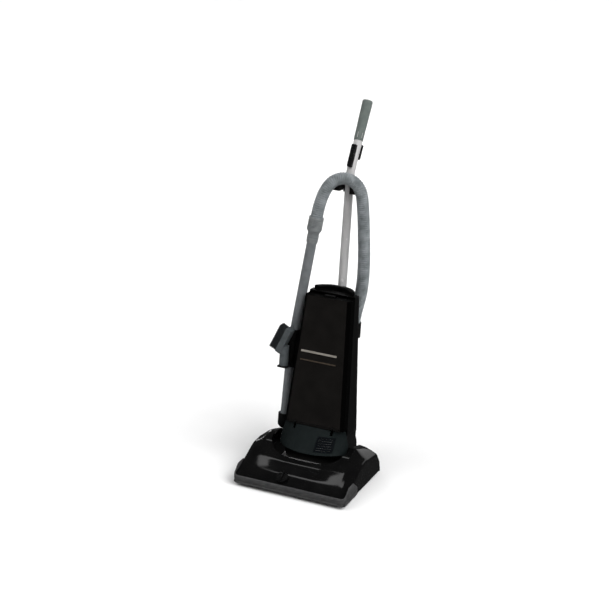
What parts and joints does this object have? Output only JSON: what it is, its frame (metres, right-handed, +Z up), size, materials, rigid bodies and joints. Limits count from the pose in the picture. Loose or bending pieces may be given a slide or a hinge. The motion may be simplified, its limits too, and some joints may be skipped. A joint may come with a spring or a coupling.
{
  "type": "upright vacuum cleaner",
  "caption": "Upright vacuum cleaner with a wide floor nozzle, tapered bag housing, bent tubular handle, and a hose looped over a hook into a side wand.",
  "frame": {"origin": "centre of the bounding box on the floor, under the machine standing upright", "axes": "+X the user's left-to-right seen from the front of the nozzle, -Y the front of the nozzle, +Z up from the floor"},
  "size_m": [0.36, 0.5418, 1.0556],
  "materials": {
    "gloss_black": "gloss",
    "door_black": "satin",
    "black_plastic": "satin",
    "cover_grey": "satin",
    "cover_dark": "matte",
    "bumper_rubber": "matte",
    "belt_rubber": "matte",
    "mount_rubber": "matte",
    "wheel_rubber": "satin",
    "grip_rubber": "matte",
    "steel": "satin",
    "black_steel": "satin",
    "chrome": "polished",
    "brass": "satin",
    "motor_metal": "satin",
    "roll_wood": "satin",
    "bristle": "matte",
    "bearing_plastic": "satin",
    "knob_plastic": "satin",
    "filter_foam": "matte",
    "bag_paper": "matte",
    "bag_card": "matte",
    "hose_grey": "satin",
    "cuff_grey": "satin",
    "wand_grey": "satin",
    "brush_grey": "satin"
  },
  "bodies": {
    "nozzle": {"hood": "gloss_black", "front_bumper": "bumper_rubber", "nozzle_chassis": "black_plastic", "sole_plate": "steel", "nozzle_duct": "black_plastic", "brush_bearings": "brass", "drive_belt": "belt_rubber", "rear_axles": "steel", "pedal_pin": "steel", "pedal_spring": "steel", "pivot_bearings": "bearing_plastic", "hood_screws": "steel"},
    "brush": {"brush_roll": "roll_wood", "brush_bristles": "bristle"},
    "wheel_left": {"rear_wheel_left": "wheel_rubber"},
    "wheel_right": {"rear_wheel_right": "wheel_rubber"},
    "carriage": {"height_carriage": "steel"},
    "roller_left": {"front_roller_left": "black_plastic"},
    "roller_right": {"front_roller_right": "black_plastic"},
    "knob": {"height_knob": "knob_plastic"},
    "pedal": {"release_pedal": "black_plastic"},
    "upright": {"motor_case": "black_plastic", "riser_duct": "black_plastic", "motor": "motor_metal", "motor_mounts": "mount_rubber", "motor_cover": "cover_grey", "exhaust_cover": "cover_dark", "exhaust_filter": "filter_foam", "rear_housing": "gloss_black", "dust_bag": "bag_paper", "bag_collar": "bag_card", "bag_spout": "black_plastic", "motor_filter": "filter_foam", "door_hinge_pin": "black_steel", "door_seal": "mount_rubber", "carry_handle": "black_plastic", "cord_gland": "mount_rubber", "lower_cord_hook": "black_plastic", "cord_hook_bracket": "black_plastic", "housing_screws": "steel", "handle_tube": "chrome", "tube_collar": "black_plastic", "grip": "grip_rubber", "switch_housing": "black_plastic", "switch_pin": "steel", "hose": "hose_grey", "hose_cuff": "cuff_grey", "hose_inlet": "black_plastic", "hose_hook": "black_plastic", "wand_lower": "wand_grey", "wand_upper": "wand_grey", "wand_socket": "black_plastic", "tool_caddy": "black_plastic"},
    "rotor": {"motor_rotor": "motor_metal"},
    "door": {"bag_door": "door_black"},
    "latch": {"door_latch": "black_plastic"},
    "rocker": {"switch_rocker": "black_plastic"},
    "cord_hook": {"upper_cord_hook": "black_plastic"},
    "brush_tool": {"dusting_brush": "brush_grey", "brush_tuft": "bristle"}
  },
  "joints": [
    {"name": "recline", "type": "hinge", "parent": "nozzle", "child": "upright", "pos_m": [0, -0.0489, 0.07], "axis": [-1, 0, 0], "range_deg": [0, 52]},
    {"name": "brush_spin", "type": "hinge", "parent": "nozzle", "child": "brush", "pos_m": [0, -0.2109, 0.027], "axis": [1, 0, 0], "continuous": true},
    {"name": "rotor_spin", "type": "hinge", "parent": "upright", "child": "rotor", "pos_m": [0, -0.0489, 0.07], "axis": [1, 0, 0], "continuous": true},
    {"name": "left_wheel_roll", "type": "hinge", "parent": "nozzle", "child": "wheel_left", "pos_m": [-0.152, -0.0269, 0.031], "axis": [1, 0, 0], "continuous": true},
    {"name": "right_wheel_roll", "type": "hinge", "parent": "nozzle", "child": "wheel_right", "pos_m": [0.152, -0.0269, 0.031], "axis": [1, 0, 0], "continuous": true},
    {"name": "height_adjust", "type": "hinge", "parent": "nozzle", "child": "carriage", "pos_m": [0, -0.1409, 0.022], "axis": [1, 0, 0], "range_deg": [0, 10]},
    {"name": "left_roller_roll", "type": "hinge", "parent": "carriage", "child": "roller_left", "pos_m": [-0.052, -0.1729, 0.011], "axis": [1, 0, 0], "continuous": true},
    {"name": "right_roller_roll", "type": "hinge", "parent": "carriage", "child": "roller_right", "pos_m": [0.052, -0.1729, 0.011], "axis": [1, 0, 0], "continuous": true},
    {"name": "knob_turn", "type": "hinge", "parent": "nozzle", "child": "knob", "pos_m": [-0.03, -0.2454, 0.046], "axis": [0, -0.4789, 0.8779], "range_deg": [0, 270]},
    {"name": "pedal_press", "type": "hinge", "parent": "nozzle", "child": "pedal", "pos_m": [-0.154, -0.0469, 0.068], "axis": [-1, 0, 0], "range_deg": [0, 8], "stiffness_Nm_per_rad": 0.8, "springref_deg": -11.46},
    {"name": "door_open", "type": "hinge", "parent": "upright", "child": "door", "pos_m": [0, -0.10054, 0.15939], "axis": [1, 0, 0], "range_deg": [0, 80]},
    {"name": "latch_slide", "type": "slide", "parent": "door", "child": "latch", "axis": [0, -0.1444, -0.9895], "range_m": [0, 0.003], "stiffness_N_per_m": 400, "springref_m": -0.003},
    {"name": "switch_rock", "type": "hinge", "parent": "upright", "child": "rocker", "pos_m": [0, 0.15339, 0.91914], "axis": [1, 0, 0], "range_deg": [-8, 8]},
    {"name": "cord_hook_turn", "type": "hinge", "parent": "upright", "child": "cord_hook", "pos_m": [0, 0.19046, 0.89543], "axis": [0, 0.8425, -0.5388], "range_deg": [0, 180]},
    {"name": "brush_lift", "type": "slide", "parent": "upright", "child": "brush_tool", "axis": [0, 0.1444, 0.9895], "range_m": [0, 0.04]}
  ],
  "couplings": [
    {"joint": "rotor_spin", "follows": "brush_spin", "ratio": 1.625},
    {"joint": "knob_turn", "follows": "height_adjust", "ratio": 27}
  ]
}
